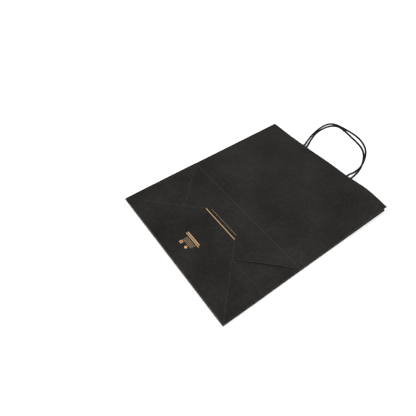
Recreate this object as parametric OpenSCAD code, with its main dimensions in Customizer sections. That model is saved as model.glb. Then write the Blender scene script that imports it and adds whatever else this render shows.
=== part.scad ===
// Paper carrier bag with a wide square bottom and two twisted paper handles,
// lying flat as it is stored: the side gussets are folded in and the bottom is
// folded up over the front. X runs across the bag, Y runs up from the bottom
// crease to the mouth, and Z runs up from the table. The origin is the centre
// of the back panel's outer face.

/* [Bag] */
// Width of the front and back panels
body_w = 320; // [260:1:400]
// Depth of the open bag, which is also the depth of its bottom
body_d = 170; // [120:1:180]
// Height of the open bag
body_h = 400; // [330:1:500]
// Depth of each of the four flaps that are glued up into the bottom
flap_h = 115; // [100:1:118]
// Width of the glued overlap that closes the tube of paper
seam_w = 22; // [12:1:30]

/* [Paper] */
// Thickness of the paper
paper_t = 0.2; // [0.12:0.01:0.2]
// Distance from a gusset's outer crease line to each sheet that it joins
edge_r = 0.75; // [0.7:0.01:1]
// Distance from a gusset's centre crease line to each half of the gusset
centre_r = 0.25; // [0.22:0.01:0.4]
// Distance from each crease line of the folded bottom to the sheets it joins
bottom_r = 0.3; // [0.25:0.01:0.5]
// Bare width left beside each crease line
crease_gap = 0.3; // [0.2:0.05:0.5]
// Distance that the gussets stop short of the bottom crease
gusset_gap = 1.5; // [1:0.1:3]

/* [Handles] */
// Diameter of the twisted paper cord
cord_d = 3.9; // [3:0.1:4]
// Distance between the two legs of a handle
leg_spacing = 124; // [110:1:128]
// Distance that each handle sits to its own side of the middle
handle_shift = 3.3; // [3.2:0.1:3.6]
// Angle that the front handle stands up from the bag
front_tilt = 30; // [30:0.5:32]
// Angle that the back handle stands up from the bag
back_tilt = 52.5; // [50:0.5:54]
// Distance from the mouth to the line that each handle bends about
bend_out = 1.5; // [1.5:0.1:3]

/* [Handle patches] */
// Length of the glued paper patch across the bag
patch_w = 190; // [175:1:210]
// Depth of the patch from the mouth down
patch_h = 45; // [35:1:60]
// Distance from the mouth to the patch
patch_inset = 1; // [0.5:0.1:3]
// Length of cord glued between the layers of a patch
end_l = 36; // [25:1:40]
// Thickness of the pressed cord inside a patch
end_t = 1.4; // [1:0.1:1.4]
// Width of the pressed cord inside a patch
end_w = 4.6; // [4:0.1:5]

/* [Hidden] */

// Where the edges and creases are
right = body_w / 2;
mouth = body_h / 2;
bottom_crease = -body_h / 2;
fold_up = bottom_crease + body_d / 2;
strip_top = bottom_crease + body_d;
gusset_in = right - body_d / 2;

// Height of each sheet's middle, from the table up
back_z = paper_t / 2;
gusset_back_z = back_z + 2 * edge_r;
gusset_front_z = gusset_back_z + 2 * centre_r;
front_z = gusset_front_z + 2 * edge_r;
strip_z = front_z + 2 * bottom_r;
bottom_z = strip_z + 2 * bottom_r;

// Cord ends: centre height of each pair, between the layers of its patch
back_cord_z = back_z + 1.5 * paper_t + end_t / 2;
front_cord_z = front_z - 1.5 * paper_t - end_t / 2;
leg = leg_spacing / 2;

// Raised ridge of a patch over a cord end: half widths at its foot and its top
ridge_foot = end_w / 2 + 0.9;
ridge_top = end_w / 2 - 0.3;

// How round the cord is drawn: sides, rings between two points of its route
cord_sides = 10;
rings = 3;
// Length over which a handle's cord swells from its pressed end to full round
swell_l = 10;

// Routes of the two handles' cords in their own planes: across the bag from
// the middle of the handle, and out from the line that the handle bends about
front_route = [
    [-leg, 2], [-64, 12], [-66.3, 27], [-66.4, 45], [-63.5, 61], [-56.5, 73],
    [-44.5, 79.6], [-29, 82], [-13, 83.6], [4, 85], [19, 84.4], [32, 81],
    [43, 75.5], [52, 67.5], [59.5, 56], [64.8, 43], [67.4, 29.5], [66, 15],
    [leg + 1, 7], [leg, 2]
];
back_route = [
    [-leg, 2], [-63.2, 12], [-64.4, 27], [-62.4, 42], [-55, 57.5], [-43, 69.5],
    [-28.5, 75.6], [-12, 75.8], [4, 74.4], [18, 73], [31, 70.6], [41, 66],
    [48.5, 59], [56.5, 48.5], [63.2, 33], [64.4, 18], [leg + 0.8, 8], [leg, 2]
];

black = [0.07, 0.07, 0.065];
kraft = [0.72, 0.53, 0.36];
cord_black = [0.09, 0.09, 0.085];

// A flat rectangle of paper between two corners, with its middle at z
module sheet(x1, x2, y1, y2, z) {
    translate([x1, y1, z - paper_t / 2])
        cube([x2 - x1, y2 - y1, paper_t]);
}

// A flat piece of paper with the given outline, with its middle at z
module cut_sheet(outline, z) {
    translate([0, 0, z - paper_t / 2])
        linear_extrude(paper_t)
            polygon(outline);
}

// One half of a gusset, from the bag's edge in to the centre crease
module gusset_half(side, z) {
    color(black)
        mirror([side < 0 ? 1 : 0, 0, 0])
            sheet(gusset_in + crease_gap, right - crease_gap,
                  bottom_crease + gusset_gap, mouth, z);
}

// The flat layer of a handle patch that lies against its panel
module patch_base(z) {
    color(kraft)
        sheet(-patch_w / 2, patch_w / 2, mouth - patch_inset - patch_h,
              mouth - patch_inset, z);
}

// The layer of a handle patch over the cord ends: flat, with a ridge over
// each end. z is the middle of its flat part, and way is the side it rises to.
module patch_cover(shift, z, way) {
    rise = way * end_t;
    low = [
        [-patch_w / 2, 0],
        [shift - leg - ridge_foot, 0],
        [shift - leg - ridge_top, rise],
        [shift - leg + ridge_top, rise],
        [shift - leg + ridge_foot, 0],
        [shift + leg - ridge_foot, 0],
        [shift + leg - ridge_top, rise],
        [shift + leg + ridge_top, rise],
        [shift + leg + ridge_foot, 0],
        [patch_w / 2, 0]
    ];
    last = len(low) - 1;
    high = [for (i = [0:last]) low[last - i] + [0, paper_t]];
    color(kraft)
        translate([0, mouth - patch_inset, z - paper_t / 2])
            rotate([90, 0, 0])
                linear_extrude(patch_h)
                    polygon(concat(low, high));
}

// The pressed end of a cord: a flat bar with round edges
module cord_end(x, z) {
    flat = end_w - end_t;
    out = bend_out - crease_gap;
    color(cord_black)
        translate([x, mouth + out, z])
            rotate([90, 0, 0])
                linear_extrude(end_l + out) {
                    square([flat, end_t], center = true);
                    for (side = [-1, 1])
                        translate([side * flat / 2, 0])
                            circle(d = end_t, $fn = 24);
                }
}

// Point of a smooth curve through p1 and p2, with p0 and p3 its neighbours
function curve_point(p0, p1, p2, p3, u) =
    0.5 * (2 * p1 + (p2 - p0) * u
           + (2 * p0 - 5 * p1 + 4 * p2 - p3) * u * u
           + (3 * p1 - p0 - 3 * p2 + p3) * u * u * u);

// All the points of a smooth curve through a route
function smooth(route) =
    let (last = len(route) - 1)
    concat(
        [for (i = [0:last - 1], k = [0:rings - 1])
            curve_point(route[max(i - 1, 0)], route[i], route[i + 1],
                        route[min(i + 2, last)], k / rings)],
        [route[last]]
    );

// Half thickness of the cord at a distance out from the line it bends about
function half_thick(out) =
    let (part = min(max(out - 2, 0) / swell_l, 1))
    end_t / 2 + (cord_d - end_t) / 2 * part;

// The loop of one handle, a tube along its route, tilted up from the bag
module handle(route, shift, z, tilt) {
    path = smooth(route);
    last = len(path) - 1;
    points = [
        for (i = [0:last])
            let (ahead = path[min(i + 1, last)] - path[max(i - 1, 0)],
                 across = [-ahead[1], ahead[0]] / norm(ahead))
            for (k = [0:cord_sides - 1])
                let (a = 360 * k / cord_sides)
                [
                    path[i][0] + across[0] * cos(a) * cord_d / 2,
                    path[i][1] + across[1] * cos(a) * cord_d / 2,
                    sin(a) * half_thick(path[i][1])
                ]
    ];
    walls = [
        for (i = [0:last - 1], k = [0:cord_sides - 1])
            let (next = (k + 1) % cord_sides,
                 here = i * cord_sides,
                 there = here + cord_sides)
            each [
                [here + k, there + next, there + k],
                [here + k, here + next, there + next]
            ]
    ];
    first_cap = [for (k = [0:cord_sides - 1]) cord_sides - 1 - k];
    last_cap = [for (k = [0:cord_sides - 1]) last * cord_sides + k];
    color(cord_black)
        translate([shift, mouth + bend_out, z])
            rotate([tilt, 0, 0])
                polyhedron(points = points,
                           faces = concat([first_cap], walls, [last_cap]),
                           convexity = 6);
}

module back_panel() {
    color(black)
        sheet(-right, right, bottom_crease, mouth, back_z);
}

// The tube's glued overlap, against the inside of the back panel
module seam_flap() {
    color(kraft)
        sheet(right - seam_w, right - crease_gap, bottom_crease + gusset_gap,
              mouth, back_z + paper_t);
}

module back_patch_base() {
    patch_base(back_z + paper_t);
}

module back_patch_cover() {
    patch_cover(handle_shift, back_z + 2 * paper_t, 1);
}

module back_cord_end_left() {
    cord_end(handle_shift - leg, back_cord_z);
}

module back_cord_end_right() {
    cord_end(handle_shift + leg, back_cord_z);
}

// The front panel down to the crease where the bottom is folded up
module front_panel() {
    color(black)
        sheet(-right, right, fold_up + crease_gap, mouth, front_z);
}

module front_patch_base() {
    patch_base(front_z - paper_t);
}

module front_patch_cover() {
    patch_cover(-handle_shift, front_z - 2 * paper_t, -1);
}

module front_cord_end_left() {
    cord_end(-handle_shift - leg, front_cord_z);
}

module front_cord_end_right() {
    cord_end(-handle_shift + leg, front_cord_z);
}

// The lowest part of the front, folded up on the outside of the front panel
module front_lower_panel() {
    color(black)
        sheet(-right, right, fold_up + crease_gap, strip_top - crease_gap,
              strip_z);
}

module gusset_left_back() {
    gusset_half(-1, gusset_back_z);
}

module gusset_left_front() {
    gusset_half(-1, gusset_front_z);
}

module gusset_right_back() {
    gusset_half(1, gusset_back_z);
}

module gusset_right_front() {
    gusset_half(1, gusset_front_z);
}

// The end flaps are the innermost layer of the bottom
module end_flap(side) {
    color(black)
        mirror([side < 0 ? 1 : 0, 0, 0])
            sheet(right - flap_h, right - crease_gap,
                  bottom_crease + crease_gap, strip_top - crease_gap, bottom_z);
}

// A corner of the bottom: the triangle of paper between an end flap and the
// flap beside it, folded under that flap on a slope of 45 degrees
module corner_tuck(side, long_edge, way, z) {
    start = long_edge + way * crease_gap;
    inner = right - flap_h;
    color(black)
        mirror([side < 0 ? 1 : 0, 0, 0])
            cut_sheet([
                [right - crease_gap, start],
                [inner, long_edge + way * flap_h],
                [inner, start]
            ], z);
}

// A long flap of the bottom: its sides slope in at 45 degrees to its cut edge
module long_flap(long_edge, way, z) {
    start = long_edge + way * crease_gap;
    wide = right - crease_gap;
    narrow = right - flap_h;
    color(black)
        cut_sheet([
            [-wide, start],
            [wide, start],
            [narrow, long_edge + way * flap_h],
            [-narrow, long_edge + way * flap_h]
        ], z);
}

module bottom_end_left() {
    end_flap(-1);
}

module bottom_end_right() {
    end_flap(1);
}

module bottom_front_tuck_left() {
    corner_tuck(-1, strip_top, -1, bottom_z + paper_t);
}

module bottom_front_tuck_right() {
    corner_tuck(1, strip_top, -1, bottom_z + paper_t);
}

module bottom_front_flap() {
    long_flap(strip_top, -1, bottom_z + 2 * paper_t);
}

module bottom_back_tuck_left() {
    corner_tuck(-1, bottom_crease, 1, bottom_z + 3 * paper_t);
}

module bottom_back_tuck_right() {
    corner_tuck(1, bottom_crease, 1, bottom_z + 3 * paper_t);
}

module bottom_back_flap() {
    long_flap(bottom_crease, 1, bottom_z + 4 * paper_t);
}

module front_handle() {
    handle(front_route, -handle_shift, front_cord_z, front_tilt);
}

module back_handle() {
    handle(back_route, handle_shift, back_cord_z, back_tilt);
}

back_panel();
seam_flap();
back_patch_base();
back_patch_cover();
back_cord_end_left();
back_cord_end_right();
front_panel();
front_patch_base();
front_patch_cover();
front_cord_end_left();
front_cord_end_right();
front_lower_panel();
gusset_left_back();
gusset_left_front();
gusset_right_back();
gusset_right_front();
bottom_end_left();
bottom_end_right();
bottom_front_tuck_left();
bottom_front_tuck_right();
bottom_front_flap();
bottom_back_tuck_left();
bottom_back_tuck_right();
bottom_back_flap();
front_handle();
back_handle();
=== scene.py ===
import math

import bpy
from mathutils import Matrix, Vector


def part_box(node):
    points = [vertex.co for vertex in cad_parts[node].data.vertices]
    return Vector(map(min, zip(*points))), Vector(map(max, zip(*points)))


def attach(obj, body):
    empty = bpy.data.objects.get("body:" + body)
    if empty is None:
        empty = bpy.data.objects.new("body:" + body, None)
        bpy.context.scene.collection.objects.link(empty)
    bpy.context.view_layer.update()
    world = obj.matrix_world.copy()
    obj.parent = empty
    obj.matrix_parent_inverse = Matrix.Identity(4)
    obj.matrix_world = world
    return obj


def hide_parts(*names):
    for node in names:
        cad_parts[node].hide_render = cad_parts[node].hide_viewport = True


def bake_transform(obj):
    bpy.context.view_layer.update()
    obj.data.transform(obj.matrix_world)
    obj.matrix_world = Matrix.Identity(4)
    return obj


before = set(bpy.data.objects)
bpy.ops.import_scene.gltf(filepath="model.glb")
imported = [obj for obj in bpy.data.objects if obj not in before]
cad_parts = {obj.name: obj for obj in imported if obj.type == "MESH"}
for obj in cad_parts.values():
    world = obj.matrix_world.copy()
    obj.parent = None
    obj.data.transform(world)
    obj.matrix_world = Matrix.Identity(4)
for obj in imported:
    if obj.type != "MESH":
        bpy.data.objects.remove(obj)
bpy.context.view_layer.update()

# ---------------------------------------------------------------- view
# The bag lies flat and is seen from over its right-hand side, with the
# bottom crease nearest on the left and the mouth and handles far right.
view_place = (0.3288, -0.3600, 0.5905)
view_turn = (38.45, -0.61, 54.0)
view_lens = 33.18
film_width = 36

camera_data = bpy.data.cameras.new("camera")
camera_data.lens = view_lens
camera_data.sensor_width = film_width
camera = bpy.data.objects.new("camera", camera_data)
camera.location = view_place
camera.rotation_euler = [math.radians(turn) for turn in view_turn]
bpy.context.scene.collection.objects.link(camera)
bpy.context.scene.camera = camera

# ------------------------------------------------------------- handles
# Each handle is one length of black paper cord, three strands of paper
# twisted together. It stands up stiffly by itself, and its two ends are
# pressed flat and glued between the layers of a patch inside the mouth.
paper_low, paper_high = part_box("back_panel")
front_low, front_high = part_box("front_panel")
half_w = paper_high[0]
mouth = paper_high[1]
crease_y = paper_low[1]
paper_t = paper_high[2] - paper_low[2]
back_z = (paper_low[2] + paper_high[2]) / 2
front_z = (front_low[2] + front_high[2]) / 2

cord_d = 0.0039
pressed_t = 0.0014
pressed_w = 0.0046
swell_l = 0.006
strands = 3
strand_groove = 0.14
strand_swell = 0.09
turn_l = 0.0125
cord_sides = 24
cord_step = 0.0011
bend_out = 0.0015
inside_l = 0.006
end_gap = 0.003
bend_from = -0.003
bend_to = 0.009
leg = 0.062

front_route = [
    (-leg, 0.002), (-0.064, 0.012), (-0.0663, 0.027), (-0.0664, 0.045),
    (-0.0635, 0.061), (-0.0565, 0.073), (-0.0445, 0.0796), (-0.029, 0.082),
    (-0.013, 0.0836), (0.004, 0.085), (0.019, 0.0844), (0.032, 0.081),
    (0.043, 0.0755), (0.052, 0.0675), (0.0595, 0.056), (0.0648, 0.043),
    (0.0674, 0.0295), (0.066, 0.015), (leg + 0.001, 0.007), (leg, 0.002),
]
back_route = [
    (-leg, 0.002), (-0.0632, 0.012), (-0.0644, 0.027), (-0.0624, 0.042),
    (-0.055, 0.0575), (-0.043, 0.0695), (-0.0285, 0.0756), (-0.012, 0.0758),
    (0.004, 0.0744), (0.020, 0.073), (0.034, 0.0704), (0.045, 0.0658),
    (0.054, 0.058), (0.061, 0.0465), (0.065, 0.033), (0.0646, 0.018),
    (leg + 0.0008, 0.008), (leg, 0.002),
]
front_shift = -0.0033
back_shift = 0.0033
front_tilt = math.radians(30)
back_tilt = math.radians(52.5)


def ease(value):
    value = min(max(value, 0.0), 1.0)
    return value * value * (3 - 2 * value)


def through(points, steps):
    """Points of a smooth curve through a list of points of any dimension."""
    last = len(points) - 1
    curve = []
    for i in range(last):
        a = points[max(i - 1, 0)]
        b, c = points[i], points[i + 1]
        d = points[min(i + 2, last)]
        for k in range(steps):
            u = k / steps
            curve.append([
                0.5 * (2 * q + (r - p) * u + (2 * p - 5 * q + 4 * r - s) * u * u
                       + (3 * q - p - 3 * r + s) * u * u * u)
                for p, q, r, s in zip(a, b, c, d)
            ])
    curve.append(list(points[last]))
    return curve


# Height that the front panel's mouth edge stands above its flat place, from
# the left corner to the right one: pressed down at the left, gaping at the
# right, where the gusset springs open.
mouth_gape = [
    (-0.16, -0.0004), (-0.12, -0.0014), (-0.08, 0.0002), (-0.045, 0.0020),
    (-0.01, 0.0052), (0.025, 0.0070), (0.060, 0.0076), (0.085, 0.0106),
    (0.108, 0.0130), (0.135, 0.0114), (0.16, 0.0090),
]
gape_curve = through(mouth_gape, 8)
gape_depth = 0.21


def gape(x, y):
    """Lift of the front panel at a place, strongest along the mouth."""
    x = min(max(x, -half_w), half_w)
    for (x1, z1), (x2, z2) in zip(gape_curve, gape_curve[1:]):
        if x <= x2:
            rise = z1 + (z2 - z1) * (x - x1) / (x2 - x1)
            break
    else:
        rise = z2
    return rise * ease((y - mouth + gape_depth) / gape_depth)


def resample(points, step):
    """The same line with points an even step apart, and its length."""
    lengths = [0.0]
    for a, b in zip(points, points[1:]):
        lengths.append(lengths[-1] + (Vector(b) - Vector(a)).length)
    total = lengths[-1]
    count = max(2, round(total / step))
    even = []
    k = 0
    for i in range(count + 1):
        want = total * i / count
        while k < len(lengths) - 2 and lengths[k + 1] < want:
            k += 1
        part = (want - lengths[k]) / (lengths[k + 1] - lengths[k])
        even.append(Vector(points[k]).lerp(Vector(points[k + 1]), part))
    return even, total


def add_mesh(name, points, faces, smooth=True):
    mesh = bpy.data.meshes.new(name)
    mesh.from_pydata([tuple(p) for p in points], [], faces)
    if smooth:
        mesh.shade_smooth()
    mesh.update()
    piece = bpy.data.objects.new(name, mesh)
    bpy.context.scene.collection.objects.link(piece)
    return piece


def twist_cord(name, line, pressed):
    """A twisted tube along a line. pressed(i) is 1 where it is pressed flat
    and 0 where it is round."""
    points = []
    run = 0.0
    last = len(line) - 1
    for i, place in enumerate(line):
        along = (line[min(i + 1, last)] - line[max(i - 1, 0)]).normalized()
        side = Vector((1, 0, 0)) if abs(along.x) < 0.5 else Vector((0, 1, 0))
        if i == 0:
            up = along.cross(side).normalized()
        up = (up - along * up.dot(along)).normalized()
        side = up.cross(along)
        if i:
            run += (place - line[i - 1]).length
        flat = pressed(i)
        wide = (cord_d + (pressed_w - cord_d) * flat) / 2
        thick = (cord_d + (pressed_t - cord_d) * flat) / 2
        for k in range(cord_sides):
            a = math.tau * k / cord_sides
            phase = strands / 2 * (a - math.tau * run / turn_l)
            groove = (1 - flat * 0.6) * (1 - abs(math.cos(phase)))
            lobe = 1 + strand_swell - strand_groove * groove
            points.append(place + side * (wide * lobe * math.cos(a))
                          + up * (thick * lobe * math.sin(a)))
    faces = []
    for i in range(last):
        for k in range(cord_sides):
            n = (k + 1) % cord_sides
            here, there = i * cord_sides, (i + 1) * cord_sides
            faces.append((here + k, here + n, there + n, there + k))
    faces.append(tuple(reversed(range(cord_sides))))
    faces.append(tuple(last * cord_sides + k for k in range(cord_sides)))
    return add_mesh(name, points, faces)


def stand_up(out, tilt):
    """Where the cord is after a distance out from its bend: it leaves the
    mouth level and turns up to its tilt in a short curve."""
    steps = 24
    y = z = 0.0
    if out <= bend_from:
        return out, 0.0
    y = bend_from
    reach = min(out, bend_to) - bend_from
    for k in range(steps):
        s = reach * (k + 0.5) / steps
        a = tilt * ease(s / (bend_to - bend_from))
        y += math.cos(a) * reach / steps
        z += math.sin(a) * reach / steps
    if out > bend_to:
        y += math.cos(tilt) * (out - bend_to)
        z += math.sin(tilt) * (out - bend_to)
    return y, z


def handle_line(route, shift, cord_z, tilt, lifted):
    """The cord's centre line, from inside one side of the patch, round the
    loop and in again at the other side."""
    inside = [(-leg, -inside_l), (-leg, -inside_l / 2)]
    outside = [(leg, -inside_l / 2), (leg, -inside_l)]
    line = []
    for x, out in through(inside + route + outside, 8):
        y, z = stand_up(out, tilt)
        x = x + shift
        lift = gape(x, mouth) * lifted * (1 - ease(out / 0.07))
        sway = 0.0008 * math.sin(x * 61 + out * 37) * ease(out / 0.03)
        line.append((x, mouth + bend_out + y, cord_z + z + lift + sway))
    return resample(line, cord_step)


def paper_cord_finish():
    """Black paper cord: matt, with painted shade darkening the grooves between the strands
    and a paler tone on their crests, where the strands rub, with the fine creases of
    twisted paper."""
    finish = bpy.data.materials.new("black_paper_cord")
    finish.use_nodes = True
    nodes, links = finish.node_tree.nodes, finish.node_tree.links
    shader = nodes["Principled BSDF"]
    shader.inputs["Roughness"].default_value = 0.75
    shader.inputs["Specular IOR Level"].default_value = 0.07
    place = nodes.new("ShaderNodeTexCoord")
    fibre = nodes.new("ShaderNodeTexNoise")
    fibre.inputs["Scale"].default_value = 900
    fibre.inputs["Detail"].default_value = 4
    links.new(place.outputs["Object"], fibre.inputs["Vector"])
    patchy = nodes.new("ShaderNodeTexNoise")
    patchy.inputs["Scale"].default_value = 70
    patchy.inputs["Detail"].default_value = 3
    links.new(place.outputs["Object"], patchy.inputs["Vector"])
    rub_and_groove_shade = nodes.new("ShaderNodeAttribute")
    rub_and_groove_shade.attribute_name = "groove_shade_and_rub"
    # Painted shade: the cord is darkest in the grooves between the strands and paler on
    # the crests, where they rub.
    tone = nodes.new("ShaderNodeMix")
    tone.data_type = "RGBA"
    tone.inputs["A"].default_value = (0.002, 0.002, 0.002, 1)
    tone.inputs["B"].default_value = (0.012, 0.012, 0.0117, 1)
    links.new(rub_and_groove_shade.outputs["Fac"], tone.inputs["Factor"])
    dust = nodes.new("ShaderNodeMix")
    dust.data_type = "RGBA"
    dust.blend_type = "MULTIPLY"
    dust.inputs["Factor"].default_value = 0.5
    links.new(tone.outputs["Result"], dust.inputs["A"])
    links.new(patchy.outputs["Fac"], dust.inputs["B"])
    links.new(dust.outputs["Result"], shader.inputs["Base Color"])
    bump = nodes.new("ShaderNodeBump")
    bump.inputs["Strength"].default_value = 0.5
    bump.inputs["Distance"].default_value = 0.0003
    links.new(fibre.outputs["Fac"], bump.inputs["Height"])
    links.new(bump.outputs["Normal"], shader.inputs["Normal"])
    return finish


cord_finish = paper_cord_finish()
# Points closer to the middle than this share of the radius get the full painted groove
# shade.
groove_shade_from = 0.84


def finish_cord(piece, line):
    """Marks how far each point stands out from the groove, for the painted groove shade
    and the rub on the crests.
    """
    rub_and_groove_shade = piece.data.attributes.new("groove_shade_and_rub", "FLOAT", "POINT")
    values = []
    for i, vertex in enumerate(piece.data.vertices):
        middle = line[min(i // cord_sides, len(line) - 1)]
        out = (vertex.co - middle).length / (cord_d / 2)
        values.append(min(max((out - groove_shade_from) / (1 - groove_shade_from), 0.0), 1.0))
    rub_and_groove_shade.data.foreach_set("value", values)
    piece.data.materials.append(cord_finish)


def make_handle(side, route, shift, tilt, body, lifted):
    end_low, end_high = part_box(side + "_cord_end_left")
    cord_z = (end_low[2] + end_high[2]) / 2
    line, length = handle_line(route, shift, cord_z, tilt, lifted)

    def pressed(i):
        out = line[i].y - mouth - bend_out
        return 1 - ease((out + 0.002) / swell_l)

    loop = twist_cord(side + "_handle_cord", line, pressed)
    finish_cord(loop, line)
    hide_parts(side + "_handle")
    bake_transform(loop)

    for name, x in (("left", shift - leg), ("right", shift + leg)):
        node = side + "_cord_end_" + name
        low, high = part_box(node)
        end_l = mouth - end_gap - low[1]
        run = [(x, low[1] + end_l * k / 9) for k in range(10)]
        rough = [(px, y, cord_z + gape(px, y) * lifted) for px, y in run]
        bar, _ = resample(rough, cord_step)
        end = twist_cord(node + "_pressed", bar, lambda i: 1.0)
        finish_cord(end, bar)
        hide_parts(node)
        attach(end, body)


make_handle("front", front_route, front_shift, front_tilt,
            "front", 1)
make_handle("back", back_route, back_shift, back_tilt,
            "back", 0)

# ---------------------------------------------------------- back panel
# The back of the bag lies on the table. Like the whole bag it is brown
# kraft paper flooded with matt black ink on its outside, bare brown inside,
# and a line of bare paper shows wherever it has been cut.
sheet_t = 0.00014
wall_step = 0.006
edge_rows = (0.0, 0.0004, 0.0009, 0.0014, 0.0019, 0.0032, 0.0056)
fold_turns = (30, 60, 90)
side_press = 0.16
side_reach = 0.032
crease_press = 0.20
crease_reach = 0.036
crease_lift = 0.0003
wave_h = 0.0011
wave_from = 0.005
wave_reach = 0.04
bottom_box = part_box("bottom_back_flap")
far = 1.0


def ripple(x, y):
    """Slow waves of paper that has been stacked and handled."""
    a = math.sin(23.1 * x + 9.7 * y + 0.8) * math.sin(16.3 * y - 7.1 * x + 2.1)
    b = math.sin(41.0 * x - 17.0 * y + 1.7) * math.cos(31.0 * y + 12.0 * x)
    return 0.5 + 0.32 * a + 0.18 * b


def wave(x, y):
    """Waves of the loose paper. The glued bottom and the folds lie flat."""
    loose = ease((y - strip_top - wave_from) / wave_reach)
    loose *= 1 - ease(1 - (half_w - abs(x)) / side_reach)
    return wave_h * ripple(x, y) * loose


def rest_height(x, y, z, hold=1.0):
    """Where a sheet at a flat height really lies: the stack is thinner where
    it is creased, along both sides and the bottom, and it gapes at the
    mouth. hold is how far the sheet follows the front panel's gape."""
    side = ease(1 - (half_w - abs(x)) / side_reach)
    low = ease(1 - (y - crease_y) / crease_reach)
    thin = (1 - side_press * side) * (1 - crease_press * low)
    rise = gape(x, y)
    thin *= 1 + min(rise, 0.0) / front_z
    return z * thin + crease_lift * low + max(rise, 0.0) * hold + wave(x, y)


def spread(length, step, rows=edge_rows):
    """Fractions of a length: close together near both ends, even between."""
    near = [r for r in rows if r < length * 0.3]
    inner = length - 2 * near[-1]
    count = max(2, round(inner / step))
    middle = [near[-1] + inner * k / count for k in range(1, count)]
    return [d / length for d in near + middle + [length - r for r in reversed(near)]]


def lay_sheet(name, corners, z, outside, folds=None, cuts=(), step=wall_step,
              hold=None, shape=None, creases=(), reach=0.00075):
    """A piece of paper with four corners: low left, low right, high right,
    high left. folds gives the flat height of the sheet that each folded side
    turns to meet, or a function of place that gives it. cuts names the sides
    that are cut, and outside is 1 where the printed face is up. hold gives
    how far it gapes, shape adds height of its own, creases are lines
    (x, y, x, y) pressed into it, and reach is the most that its folded sides
    stand out."""
    folds = folds or {}
    a, b, c, d = [Vector(p) for p in corners]
    wide = ((b - a).length + (c - d).length) / 2
    tall = ((d - a).length + (c - b).length) / 2
    us = [(u, 0) for u in spread(wide, step)]
    vs = [(v, 0) for v in spread(tall, step)]
    turns = [math.radians(t) for t in fold_turns]
    if "left" in folds:
        us = [(0.0, -t) for t in reversed(turns)] + us
    if "right" in folds:
        us = us + [(1.0, t) for t in turns]
    if "low" in folds:
        vs = [(0.0, -t) for t in reversed(turns)] + vs
    if "high" in folds:
        vs = vs + [(1.0, t) for t in turns]
    hold_at = hold or (lambda x, y: 0.0)
    shape_at = shape or (lambda x, y: 0.0)

    def flat(u, v):
        return a.lerp(b, u).lerp(d.lerp(c, u), v)

    out_of = {
        "left": -Vector(((d - a).y, -(d - a).x)).normalized(),
        "right": Vector(((c - b).y, -(c - b).x)).normalized(),
        "low": Vector(((b - a).y, -(b - a).x)).normalized(),
        "high": -Vector(((c - d).y, -(c - d).x)).normalized(),
    }

    def meets(side, p):
        level = folds[side]
        return level(p.x, p.y) if callable(level) else level

    def height(p, level):
        return (rest_height(p.x, p.y, level, hold_at(p.x, p.y))
                + shape_at(p.x, p.y))

    grid = []
    for v, tv in vs:
        row = []
        for u, tu in us:
            p = flat(u, v)
            place = Vector((p.x, p.y, height(p, z)))
            turned = []
            if tu:
                turned.append(("left" if tu < 0 else "right", abs(tu)))
            if tv:
                turned.append(("low" if tv < 0 else "high", abs(tv)))
            for side, turn in turned:
                gap = height(p, meets(side, p)) - height(p, z)
                out = out_of[side] * (min(abs(gap) / 2, reach) * math.sin(turn))
                place += Vector((out.x, out.y, gap / 2 * (1 - math.cos(turn))))
            row.append(place)
        grid.append(row)

    rows, cols = len(vs), len(us)
    tops, unders = [], []
    for i in range(rows):
        for k in range(cols):
            across = grid[i][min(k + 1, cols - 1)] - grid[i][max(k - 1, 0)]
            up = grid[min(i + 1, rows - 1)][k] - grid[max(i - 1, 0)][k]
            normal = across.cross(up).normalized() * (sheet_t / 2)
            tops.append(grid[i][k] + normal)
            unders.append(grid[i][k] - normal)
    count = rows * cols
    faces, slots = [], []
    for i in range(rows - 1):
        for k in range(cols - 1):
            q = i * cols + k
            faces.append((q, q + 1, q + cols + 1, q + cols))
            slots.append(0 if outside > 0 else 1)
            faces.append((count + q, count + q + cols, count + q + cols + 1,
                          count + q + 1))
            slots.append(1 if outside > 0 else 0)
    rim = [("low", [k for k in range(cols)]),
           ("right", [i * cols + cols - 1 for i in range(rows)]),
           ("high", [(rows - 1) * cols + k for k in reversed(range(cols))]),
           ("left", [i * cols for i in reversed(range(rows))])]
    for side, ring in rim:
        for p, q in zip(ring, ring[1:]):
            faces.append((q, p, count + p, count + q))
            slots.append(2 if side in cuts else 0)

    piece = add_mesh(name, tops + unders, faces)
    mesh = piece.data
    mesh.polygons.foreach_set("material_index", slots)
    for finish in (black_print, bare_kraft, cut_edge):
        mesh.materials.append(finish)

    marks = {"fold_gap": [], "cut_gap": [], "crease_a": [], "crease_b": []}
    for i, (v, tv) in enumerate(vs):
        for k, (u, tu) in enumerate(us):
            p = flat(u, v)
            gaps = {
                "left": -(p - a).dot(out_of["left"]),
                "right": -(p - b).dot(out_of["right"]),
                "low": -(p - a).dot(out_of["low"]),
                "high": -(p - d).dot(out_of["high"]),
            }
            marks["fold_gap"].append(min([gaps[s] for s in folds] or [far]))
            marks["cut_gap"].append(min([gaps[s] for s in cuts] or [far]))
            for n, key in enumerate(("crease_a", "crease_b")):
                if n < len(creases):
                    x1, y1, x2, y2 = creases[n]
                    line = Vector((x2 - x1, y2 - y1)).normalized()
                    gap = (p - Vector((x1, y1))).dot(Vector((line.y, -line.x)))
                    marks[key].append(gap)
                else:
                    marks[key].append(far)
    for key, values in marks.items():
        mark = mesh.attributes.new(key, "FLOAT", "POINT")
        mark.data.foreach_set("value", values + values)
    plan = mesh.uv_layers.new(name="paper")
    flats = [flat(u, v) for v, _ in vs for u, _ in us]
    for loop in mesh.loops:
        p = flats[loop.vertex_index % count]
        plan.data[loop.index].uv = (p.x, p.y)
    return piece


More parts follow.
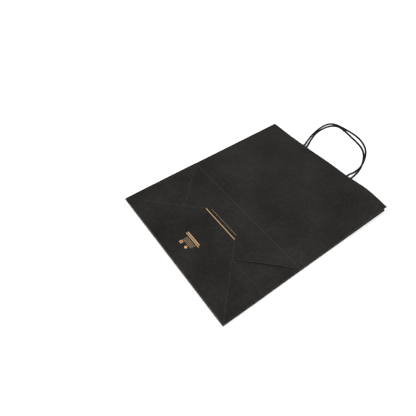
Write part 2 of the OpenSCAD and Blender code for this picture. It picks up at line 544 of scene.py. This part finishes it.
def paper_bump(nodes, links, plan, strength):
    """Relief of kraft paper: the faint ribs of the machine, and fibres."""
    ribs = nodes.new("ShaderNodeTexWave")
    ribs.inputs["Scale"].default_value = 190
    ribs.inputs["Distortion"].default_value = 1.2
    ribs.inputs["Detail"].default_value = 2
    ribs.inputs["Detail Scale"].default_value = 1.5
    links.new(plan.outputs["UV"], ribs.inputs["Vector"])
    fibre = nodes.new("ShaderNodeTexNoise")
    fibre.inputs["Scale"].default_value = 520
    fibre.inputs["Detail"].default_value = 5
    links.new(plan.outputs["UV"], fibre.inputs["Vector"])
    both = nodes.new("ShaderNodeMath")
    both.operation = "MULTIPLY_ADD"
    both.inputs[1].default_value = 0.45
    links.new(ribs.outputs["Fac"], both.inputs[0])
    links.new(fibre.outputs["Fac"], both.inputs[2])
    bump = nodes.new("ShaderNodeBump")
    bump.inputs["Strength"].default_value = strength
    bump.inputs["Distance"].default_value = 0.00025
    links.new(both.outputs[0], bump.inputs["Height"])
    return bump, fibre


def near_line(nodes, links, name, width, signed, blur):
    """1 on a marked line of the paper and 0 away from it."""
    mark = nodes.new("ShaderNodeAttribute")
    mark.attribute_name = name
    gap = mark.outputs["Fac"]
    if signed:
        size = nodes.new("ShaderNodeMath")
        size.operation = "ABSOLUTE"
        links.new(gap, size.inputs[0])
        gap = size.outputs[0]
    band = nodes.new("ShaderNodeMapRange")
    band.inputs["From Min"].default_value = width
    band.inputs["From Max"].default_value = width * (1 - blur)
    links.new(gap, band.inputs["Value"])
    return band.outputs["Result"]


def larger(nodes, links, first, second):
    top = nodes.new("ShaderNodeMath")
    top.operation = "MAXIMUM"
    links.new(first, top.inputs[0])
    links.new(second, top.inputs[1])
    return top.outputs[0]


def times(nodes, links, first, second):
    product = nodes.new("ShaderNodeMath")
    product.operation = "MULTIPLY"
    links.new(first, product.inputs[0])
    if isinstance(second, float):
        product.inputs[1].default_value = second
    else:
        links.new(second, product.inputs[1])
    return product.outputs[0]


def blend_colour(nodes, links, factor, first, second):
    mix = nodes.new("ShaderNodeMix")
    mix.data_type = "RGBA"
    for value, name in ((first, "A"), (second, "B")):
        if isinstance(value, tuple):
            mix.inputs[name].default_value = value
        else:
            links.new(value, mix.inputs[name])
    links.new(factor, mix.inputs["Factor"])
    return mix.outputs["Result"]


def black_print_finish():
    """Matt black ink on kraft: cloudy in tone, the broad clouds partly the ink's own
    mottling and partly painted sheen and shade of the paper's slow undulation, rubbed
    paler along every fold and crease, and stopping short of the cut edges, where brown
    shows."""
    finish = bpy.data.materials.new("black_print")
    finish.use_nodes = True
    nodes, links = finish.node_tree.nodes, finish.node_tree.links
    shader = nodes["Principled BSDF"]
    shader.inputs["Specular IOR Level"].default_value = 0.09
    plan = nodes.new("ShaderNodeUVMap")
    plan.uv_map = "paper"
    cloud = nodes.new("ShaderNodeTexNoise")
    cloud.inputs["Scale"].default_value = 11
    cloud.inputs["Detail"].default_value = 3
    cloud.inputs["Roughness"].default_value = 0.55
    links.new(plan.outputs["UV"], cloud.inputs["Vector"])
    tone = nodes.new("ShaderNodeMapRange")
    tone.inputs["From Min"].default_value = 0.32
    tone.inputs["From Max"].default_value = 0.68
    links.new(cloud.outputs["Fac"], tone.inputs["Value"])
    mottle = nodes.new("ShaderNodeTexNoise")
    mottle.inputs["Scale"].default_value = 150
    mottle.inputs["Detail"].default_value = 5
    mottle.inputs["Roughness"].default_value = 0.7
    links.new(plan.outputs["UV"], mottle.inputs["Vector"])
    grain = nodes.new("ShaderNodeMapRange")
    grain.inputs["From Min"].default_value = 0.36
    grain.inputs["From Max"].default_value = 0.64
    links.new(mottle.outputs["Fac"], grain.inputs["Value"])
    bump, fibre = paper_bump(nodes, links, plan, 0.35)
    # Painted sheen and shade: the broad cloud lightens and darkens both ink tones, partly
    # as the ink's own mottling, partly for light on the paper's undulation.
    ink = blend_colour(nodes, links, tone.outputs["Result"],
                       (0.0046, 0.0041, 0.0034, 1), (0.0130, 0.0121, 0.0104, 1))
    light = blend_colour(nodes, links, tone.outputs["Result"],
                         (0.0086, 0.0078, 0.0067, 1), (0.0205, 0.0192, 0.0169, 1))
    ink = blend_colour(nodes, links, grain.outputs["Result"], ink, light)
    speck = nodes.new("ShaderNodeMapRange")
    speck.inputs["From Min"].default_value = 0.52
    speck.inputs["From Max"].default_value = 0.74
    speck.inputs["To Max"].default_value = 0.4
    links.new(fibre.outputs["Fac"], speck.inputs["Value"])
    ink = blend_colour(nodes, links, speck.outputs["Result"], ink,
                       (0.036, 0.033, 0.029, 1))
    wear = near_line(nodes, links, "fold_gap", 0.0011, False, 0.9)
    for name in ("crease_a", "crease_b"):
        pressed = near_line(nodes, links, name, 0.0009, True, 0.9)
        wear = larger(nodes, links, wear, times(nodes, links, pressed, 0.45))
    rubbed = nodes.new("ShaderNodeMapRange")
    rubbed.inputs["From Min"].default_value = 0.3
    rubbed.inputs["From Max"].default_value = 0.62
    links.new(fibre.outputs["Fac"], rubbed.inputs["Value"])
    wear = times(nodes, links, wear, rubbed.outputs["Result"])
    ink = blend_colour(nodes, links, wear, ink, (0.043, 0.040, 0.035, 1))
    bare = near_line(nodes, links, "cut_gap", 0.0003, False, 0.35)
    ink = blend_colour(nodes, links, bare, ink, (0.20, 0.145, 0.09, 1))
    links.new(ink, shader.inputs["Base Color"])
    matt = nodes.new("ShaderNodeMapRange")
    matt.inputs["To Min"].default_value = 0.62
    matt.inputs["To Max"].default_value = 0.82
    links.new(cloud.outputs["Fac"], matt.inputs["Value"])
    links.new(matt.outputs["Result"], shader.inputs["Roughness"])
    links.new(bump.outputs["Normal"], shader.inputs["Normal"])
    return finish


def kraft_finish(name, dark, pale, roughness):
    """Unprinted kraft: warm brown with darker fibres and flecks in it."""
    finish = bpy.data.materials.new(name)
    finish.use_nodes = True
    nodes, links = finish.node_tree.nodes, finish.node_tree.links
    shader = nodes["Principled BSDF"]
    shader.inputs["Roughness"].default_value = roughness
    shader.inputs["Specular IOR Level"].default_value = 0.25
    plan = nodes.new("ShaderNodeUVMap")
    plan.uv_map = "paper"
    cloud = nodes.new("ShaderNodeTexNoise")
    cloud.inputs["Scale"].default_value = 60
    cloud.inputs["Detail"].default_value = 6
    cloud.inputs["Roughness"].default_value = 0.7
    links.new(plan.outputs["UV"], cloud.inputs["Vector"])
    bump, fibre = paper_bump(nodes, links, plan, 0.45)
    tone = blend_colour(nodes, links, cloud.outputs["Fac"], dark, pale)
    fleck = nodes.new("ShaderNodeMapRange")
    fleck.inputs["From Min"].default_value = 0.60
    fleck.inputs["From Max"].default_value = 0.72
    fleck.inputs["To Max"].default_value = 0.55
    links.new(fibre.outputs["Fac"], fleck.inputs["Value"])
    tone = blend_colour(nodes, links, fleck.outputs["Result"], tone,
                        tuple(0.45 * v for v in dark[:3]) + (1,))
    fold = near_line(nodes, links, "fold_gap", 0.0009, False, 0.8)
    tone = blend_colour(nodes, links, times(nodes, links, fold, 0.4), tone,
                        tuple(min(1.0, 1.25 * v) for v in pale[:3]) + (1,))
    links.new(tone, shader.inputs["Base Color"])
    links.new(bump.outputs["Normal"], shader.inputs["Normal"])
    return finish


black_print = black_print_finish()
bare_kraft = kraft_finish("bare_kraft", (0.34, 0.21, 0.115, 1),
                          (0.52, 0.345, 0.20, 1), 0.8)
cut_edge = kraft_finish("cut_edge", (0.20, 0.135, 0.08, 1),
                        (0.34, 0.235, 0.145, 1), 0.9)


def level(node):
    """Flat height of the middle of a sheet."""
    low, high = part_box(node)
    return (low[2] + high[2]) / 2


def oblong(node):
    """The four corners of a rectangular sheet."""
    low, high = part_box(node)
    return [(low[0], low[1]), (high[0], low[1]), (high[0], high[1]),
            (low[0], high[1])]


def fix_sheet(piece, node, body):
    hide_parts(node)
    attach(piece, body)


gusset_back_z = level("gusset_left_back")
gusset_front_z = level("gusset_left_front")
strip_z = level("front_lower_panel")
end_z = level("bottom_end_left")
back_flap_z = level("bottom_back_flap")
front_flap_z = level("bottom_front_flap")
fold_up = front_low[1]
strip_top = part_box("front_lower_panel")[1][1]

back_panel = lay_sheet(
    "back_panel_sheet", oblong("back_panel"), back_z, -1,
    folds={"left": gusset_back_z, "right": gusset_back_z, "low": back_flap_z},
    cuts=("high",), creases=((-half_w, fold_up, half_w, fold_up),), reach=0.001)
fix_sheet(back_panel, "back_panel", "back")

seam = lay_sheet("seam_flap_sheet", oblong("seam_flap"), level("seam_flap"),
                 -1, cuts=("left",))
fix_sheet(seam, "seam_flap", "back")

# --------------------------------------------------------- front panel
# The front is the same paper. It runs from the mouth down to the line where
# the bottom is folded up over it, and the rest of it is a strip that lies
# face down on it, under the bottom.


def front_hold(x, y):
    """The front panel, and what is glued to it, follows the whole gape."""
    return 1.0


front_panel = lay_sheet(
    "front_panel_sheet", oblong("front_panel"), front_z, 1,
    folds={"left": gusset_front_z, "right": gusset_front_z, "low": strip_z},
    cuts=("high",), hold=front_hold)
fix_sheet(front_panel, "front_panel", "front")

front_strip = lay_sheet(
    "front_lower_sheet", oblong("front_lower_panel"), strip_z, -1,
    folds={"low": front_z, "high": front_flap_z, "left": end_z, "right": end_z})
fix_sheet(front_strip, "front_lower_panel", "front_lower")

# ------------------------------------------------------------- gussets
# Each side of the bag is folded in along its middle, so two halves of it lie
# black face to black face between the front and the back. A slanting crease
# in each half lets its foot fold into the bottom.
depth = 2 * (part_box("gusset_left_back")[1][0] + half_w)
bend_w = 0.0019
loose_inset = 0.0014
foot_rise = 0.0038
foot_inset = 0.0005
slack = 0.001


def gusset_hold(x, y):
    """The front half gapes with the front panel and narrows to nothing at
    the centre crease. The back half stays down."""
    return max(1 - 2 * (half_w - abs(x)) / depth, 0.0)


def panel_meets(x, y):
    """The front half turns up to the front, and below the front it stands
    higher, to meet the strip once the bag is open."""
    return front_z if y > fold_up - slack else front_z + foot_rise


for side, way in (("left", -1), ("right", 1)):
    edge, centre = way * half_w, way * (half_w - depth / 2)
    slant = (edge, crease_y, centre, crease_y + depth / 2)
    outer = "left" if way < 0 else "right"
    inner = "right" if way < 0 else "left"
    for half, z, panel_z, other_z, foot_z, face, hold in (
            ("back", gusset_back_z, back_z, gusset_front_z, back_z, 1, None),
            ("front", gusset_front_z, panel_meets, gusset_back_z, end_z, -1, gusset_hold)):
        node = "gusset_" + side + "_" + half
        loose = side == "left" and half == "front"
        out_x = edge + loose_inset if loose else edge
        foot_y = crease_y + foot_inset if half == "back" else crease_y
        corners = [(out_x if abs(x - edge) < slack else x, y if y > 0 else foot_y)
                   for x, y in oblong(node)]
        gusset = lay_sheet(
            node + "_sheet", corners, z, face,
            folds={outer: panel_z, inner: other_z, "low": foot_z}, cuts=("high",),
            hold=hold, shape=lambda x, y: -wave(x, y), creases=(slant,))
        # The strip that bends with a panel turns over as the bag opens, so it
        # is black on both faces.
        for paper in gusset.data.polygons:
            if abs(paper.center.x) > half_w - bend_w:
                paper.material_index = 0
        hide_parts(node)
        if loose:
            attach(gusset, node)
        else:
            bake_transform(gusset)

# ------------------------------------------------------------- patches
# Two layers of brown kraft hold each handle inside the mouth. The cord's
# ends are glued between them, and the inner layer stands up over each end.
ridge_foot = 0.0034
ridge_top = 0.0019
ridge_l = 0.046
ridge_end = 0.006


def ridge(x, y, shift, way):
    """Height of the inner layer over the two cord ends."""
    gap = min(abs(x - shift - leg), abs(x - shift + leg))
    part = ease((ridge_foot - gap) / (ridge_foot - ridge_top))
    low = ease((y - mouth + ridge_l) / ridge_end)
    return way * pressed_t * part * low


for side, body, shift, way, hold in (
        ("front", "front", front_shift, -1, front_hold),
        ("back", "back", back_shift, 1, None)):
    base_node, cover_node = side + "_patch_base", side + "_patch_cover"
    base = lay_sheet(base_node + "_sheet", oblong(base_node),
                     level(base_node), -way, hold=hold,
                     cuts=("left", "right", "low", "high"))
    flat_z = level(base_node) + way * paper_t
    cover = lay_sheet(
        cover_node + "_sheet", oblong(cover_node), flat_z, -way, step=0.0011,
        hold=hold, cuts=("left", "right", "low", "high"),
        shape=lambda x, y, s=shift, w=way: ridge(x, y, s, w))
    for piece, node in ((base, base_node), (cover, cover_node)):
        piece.data.polygons.foreach_set("material_index",
                                        [1] * len(piece.data.polygons))
        fix_sheet(piece, node, body)

# -------------------------------------------------------------- bottom
# The square bottom is glued from four flaps and folded up over the front.
# The end flaps show as triangles. The front flap lies over them and the
# back flap, pasted down last, laps over the front flap with its cut edge.
flap_reach = bottom_box[1][1] - crease_y
flap_inner = half_w - flap_reach
middle_y = crease_y + depth / 2
spring_reach = 0.030
rise_reach = 0.004
swell_reach = 0.03


def slant_lift(x, y, long_edge, way, most, full_side=0):
    """The slanting side of a long flap springs up a little off the end flap,
    most of all half way along it. full_side is the one side that springs the
    whole way, or 0 where both do."""
    along = (y - long_edge) * way
    gap = (half_w - abs(x)) - along
    half_way = math.sin(math.pi * min(max(along / (depth / 2), 0), 1))
    part = ease(1 - gap / spring_reach) * half_way
    if full_side and x * full_side < 0:
        part *= 0.3
    return most * part


def end_shape(x, y):
    """The end flap stands up along its centre crease and swells beside it."""
    across = abs(y - middle_y)
    rise = ease(1 - across / rise_reach)
    swell = ease(1 - abs(across - swell_reach) / swell_reach)
    return 0.0003 * rise + 0.0002 * swell * ease((abs(x) - flap_inner) / swell_reach)


for side, way in (("left", -1), ("right", 1)):
    node = "bottom_end_" + side
    outer = "left" if way < 0 else "right"
    inner = "right" if way < 0 else "left"
    end = lay_sheet(
        node + "_sheet", oblong(node), end_z, 1,
        folds={outer: gusset_front_z}, cuts=(inner,), shape=end_shape,
        creases=((way * half_w, middle_y, way * flap_inner, middle_y),),
        reach=0.0005)
    fix_sheet(end, node, "bottom")

tuck_inset = 0.0003
tuck_tip = 0.0006
flap_shape = {
    "front": lambda x, y: slant_lift(x, y, strip_top, -1, 0.0021, 1),
    "back": lambda x, y: slant_lift(x, y, crease_y, 1, 0.0004)
    + 0.0007 * ease((y - crease_y - flap_reach + 0.02) / 0.02),
}

for part, rise in (("front", -1), ("back", 1)):
    for side, way in (("left", -1), ("right", 1)):
        node = "bottom_" + part + "_tuck_" + side
        low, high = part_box(node)
        base_y = low[1] if rise > 0 else high[1]
        tip_y = high[1] if rise > 0 else low[1]
        out_x = (low[0] if way < 0 else high[0]) - way * tuck_inset
        tip_x = (high[0] if way < 0 else low[0]) - way * tuck_inset
        in_x = tip_x - way * tuck_tip
        if rise > 0:
            corners = [(out_x, base_y), (in_x, base_y), (in_x, tip_y), (tip_x, tip_y)]
        else:
            corners = [(tip_x, tip_y), (in_x, tip_y), (in_x, base_y), (out_x, base_y)]
        if way > 0:
            corners = [corners[1], corners[0], corners[3], corners[2]]
        slope = "left" if way < 0 else "right"
        tuck = lay_sheet(
            node + "_sheet", corners, level(node), -1,
            folds={slope: level("bottom_" + part + "_flap")},
            shape=flap_shape[part])
        fix_sheet(tuck, node, "bottom")


def flap_corners(node, rise):
    low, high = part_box(node)
    wide = high[0]
    if rise > 0:
        return [(-wide, low[1]), (wide, low[1]), (flap_inner, high[1]),
                (-flap_inner, high[1])]
    return [(-flap_inner, low[1]), (flap_inner, low[1]), (wide, high[1]),
            (-wide, high[1])]


front_tuck_z = level("bottom_front_tuck_left")
front_flap = lay_sheet(
    "bottom_front_flap_sheet", flap_corners("bottom_front_flap", -1),
    front_flap_z, 1,
    folds={"high": strip_z, "left": front_tuck_z, "right": front_tuck_z},
    shape=flap_shape["front"])
fix_sheet(front_flap, "bottom_front_flap", "bottom")

back_tuck_z = level("bottom_back_tuck_left")
back_flap = lay_sheet(
    "bottom_back_flap_sheet", flap_corners("bottom_back_flap", 1),
    back_flap_z, 1,
    folds={"low": back_z, "left": back_tuck_z, "right": back_tuck_z},
    cuts=("high",), shape=flap_shape["back"], reach=0.0005)
fix_sheet(back_flap, "bottom_back_flap", "bottom")

# --------------------------------------------------------------- print
# The bottom carries a small panel of plain bars and shapes, left unprinted
# so that the brown paper shows through the black.
print_lift = 0.00012
mark_film = 0.00003


def mark_height(x, y, base_z, shape):
    return rest_height(x, y, base_z) + shape(x, y) + print_lift


def bare_mark(name, outlines, base_z, shape):
    """Flat marks that follow the paper under them, each a thin film with
    the given outline."""
    points, faces = [], []
    for outline in outlines:
        n = len(outline)
        start = len(points)
        for lift in (mark_film, 0.0):
            for x, y in outline:
                points.append((x, y, mark_height(x, y, base_z, shape) + lift))
        faces.append(tuple(start + k for k in range(n)))
        faces.append(tuple(start + n + k for k in reversed(range(n))))
        for k in range(n):
            m = (k + 1) % n
            faces.append((start + m, start + k, start + n + k, start + n + m))
    piece = add_mesh(name, points, faces, smooth=False)
    plan = piece.data.uv_layers.new(name="paper")
    for loop in piece.data.loops:
        co = piece.data.vertices[loop.vertex_index].co
        plan.data[loop.index].uv = (co.x, co.y)
    for key in ("fold_gap", "cut_gap"):
        mark = piece.data.attributes.new(key, "FLOAT", "POINT")
        mark.data.foreach_set("value", [far] * len(points))
    piece.data.materials.append(bare_kraft)
    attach(piece, "bottom")
    return piece


def bar(x1, x2, y1, y2):
    return [(x1, y1), (x2, y1), (x2, y2), (x1, y2)]


def bars_in_steps(x1, x2, y1, y2, step=0.006):
    """One long bar as short lengths, so that it bends with the paper."""
    count = max(1, round((x2 - x1) / step))
    wide = (x2 - x1) / count
    return [bar(x1 + wide * k, x1 + wide * (k + 1), y1, y2) for k in range(count)]


marks = []
marks += bars_in_steps(-0.0190, 0.0176, crease_y + 0.0535, crease_y + 0.0556)
marks += bars_in_steps(-0.0190, 0.0200, crease_y + 0.0502, crease_y + 0.0520)
for k in range(4):
    y = crease_y + 0.0462 - 0.0027 * k
    marks += bars_in_steps(-0.0110, 0.0150 - 0.002 * (k % 2), y, y + 0.0006)
tile = 0.0030
hole = 0.0013
tile_x, tile_y = -0.0085, crease_y + 0.0325
for x1, x2, y1, y2 in ((-tile, -hole, -tile, tile), (hole, tile, -tile, tile),
                       (-hole, hole, -tile, -hole), (-hole, hole, hole, tile)):
    marks.append(bar(tile_x + x1, tile_x + x2, tile_y + y1, tile_y + y2))
gem = 0.0036
gem_x = 0.0062
gem_y = crease_y + 0.0325
marks.append([(gem_x, gem_y - gem), (gem_x + gem, gem_y), (gem_x, gem_y + gem),
              (gem_x - gem, gem_y)])
bare_mark("bottom_marks", marks, back_flap_z, flap_shape["back"])

edge_y = crease_y + flap_reach
bare_mark("bottom_edge_line",
          bars_in_steps(-flap_inner + 0.0004, flap_inner - 0.0004,
                        edge_y - 0.0016, edge_y - 0.0001),
          back_flap_z, flap_shape["back"])

dash = 0.0021
dash_gap = 0.0011
dash_w = 0.0006
dash_y = edge_y + 0.0072
dash_end = 0.0395
dashes = []
dash_x = -0.0365
while dash_x + dash < dash_end:
    dashes.append(bar(dash_x, dash_x + dash, dash_y, dash_y + dash_w))
    dash_x += dash + dash_gap
bare_mark("bottom_dashes", dashes, front_flap_z, flap_shape["front"])

# ------------------------------------------------------ table and light
# The bag lies on a pale table. Two broad soft lights stand over it, one from
# behind on the left and one from the right, in a white room.
table_size = 3.0
table = add_mesh("table", [(-table_size, -table_size, 0), (table_size, -table_size, 0),
                           (table_size, table_size, 0), (-table_size, table_size, 0)],
                 [(0, 1, 2, 3)], smooth=False)
table_finish = bpy.data.materials.new("pale_table")
table_finish.use_nodes = True
table_shader = table_finish.node_tree.nodes["Principled BSDF"]
table_shader.inputs["Base Color"].default_value = (0.93, 0.93, 0.93, 1)
table_shader.inputs["Roughness"].default_value = 0.9
table_shader.inputs["Specular IOR Level"].default_value = 0.1
table.data.materials.append(table_finish)

world = bpy.data.worlds.new("soft_room")
world.use_nodes = True
world.node_tree.nodes["Background"].inputs["Color"].default_value = (1, 1, 1, 1)
world.node_tree.nodes["Background"].inputs["Strength"].default_value = 1.0
bpy.context.scene.world = world


def soft_light(name, place, size, power):
    data = bpy.data.lights.new(name, "AREA")
    data.shape = "DISK"
    data.size = size
    data.energy = power
    light = bpy.data.objects.new(name, data)
    light.location = place
    aim = Vector((0, 0, 0)) - Vector(place)
    light.rotation_euler = aim.to_track_quat("-Z", "Y").to_euler()
    bpy.context.scene.collection.objects.link(light)


soft_light("top_light", (-0.5, 0.7, 1.8), 1.6, 14)
soft_light("side_light", (0.9, -0.2, 1.3), 1.2, 7)
bpy.context.scene.view_settings.view_transform = "Standard"
